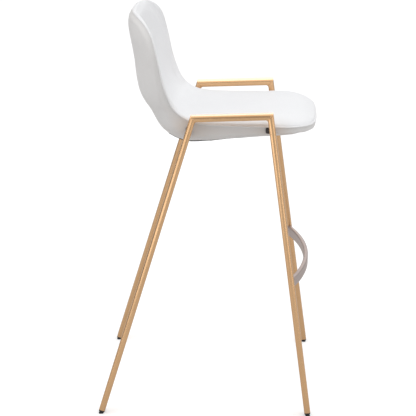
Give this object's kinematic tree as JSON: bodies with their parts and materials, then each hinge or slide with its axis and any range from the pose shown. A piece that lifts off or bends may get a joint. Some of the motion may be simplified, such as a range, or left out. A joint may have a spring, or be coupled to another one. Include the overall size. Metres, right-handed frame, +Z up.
{
  "type": "bar stool",
  "caption": "Padded bucket-seat bar stool on a splayed gold flat-oval tube frame with mitred armrest loops and a curved front foot rail.",
  "frame": {"origin": "on the floor, under the middle of the stool's outline", "axes": "+Z up, the sitter faces -Y, +X is the stool's left-hand side seen from the front"},
  "size_m": [0.5862, 0.5734, 1.0455],
  "materials": {
    "gold_tube": "brushed satin gold plating",
    "foot_rail": "satin taupe bronze",
    "cross_tube": "black powder coat",
    "glide": "moulded black",
    "white_cover": "white leatherette, fine grain",
    "outer_cover": "white leatherette, fine grain",
    "piping": "white leatherette welt",
    "foam": "upholstery foam",
    "plywood": "moulded plywood",
    "dust_cover": "black non-woven cloth",
    "zinc": "zinc plated",
    "bolt": "black oxide"
  },
  "bodies": {
    "root": {"right_front_leg": "gold_tube", "right_rear_leg": "gold_tube", "right_armrest": "gold_tube", "left_front_leg": "gold_tube", "left_rear_leg": "gold_tube", "left_armrest": "gold_tube", "front_cross_tube": "cross_tube", "rear_cross_tube": "cross_tube", "foot_rail": "foot_rail", "right_front_glide": "glide", "right_rear_glide": "glide", "left_front_glide": "glide", "left_rear_glide": "glide", "plywood_shell": "plywood", "seat_foam": "foam", "backing_foam": "foam", "inner_cover": "white_cover", "outer_cover": "outer_cover", "edge_piping": "piping", "dust_cover": "dust_cover", "t_nuts": "zinc", "seat_bolts": "bolt", "flat_washers": "zinc", "spring_washers": "zinc"}
  },
  "joints": []
}
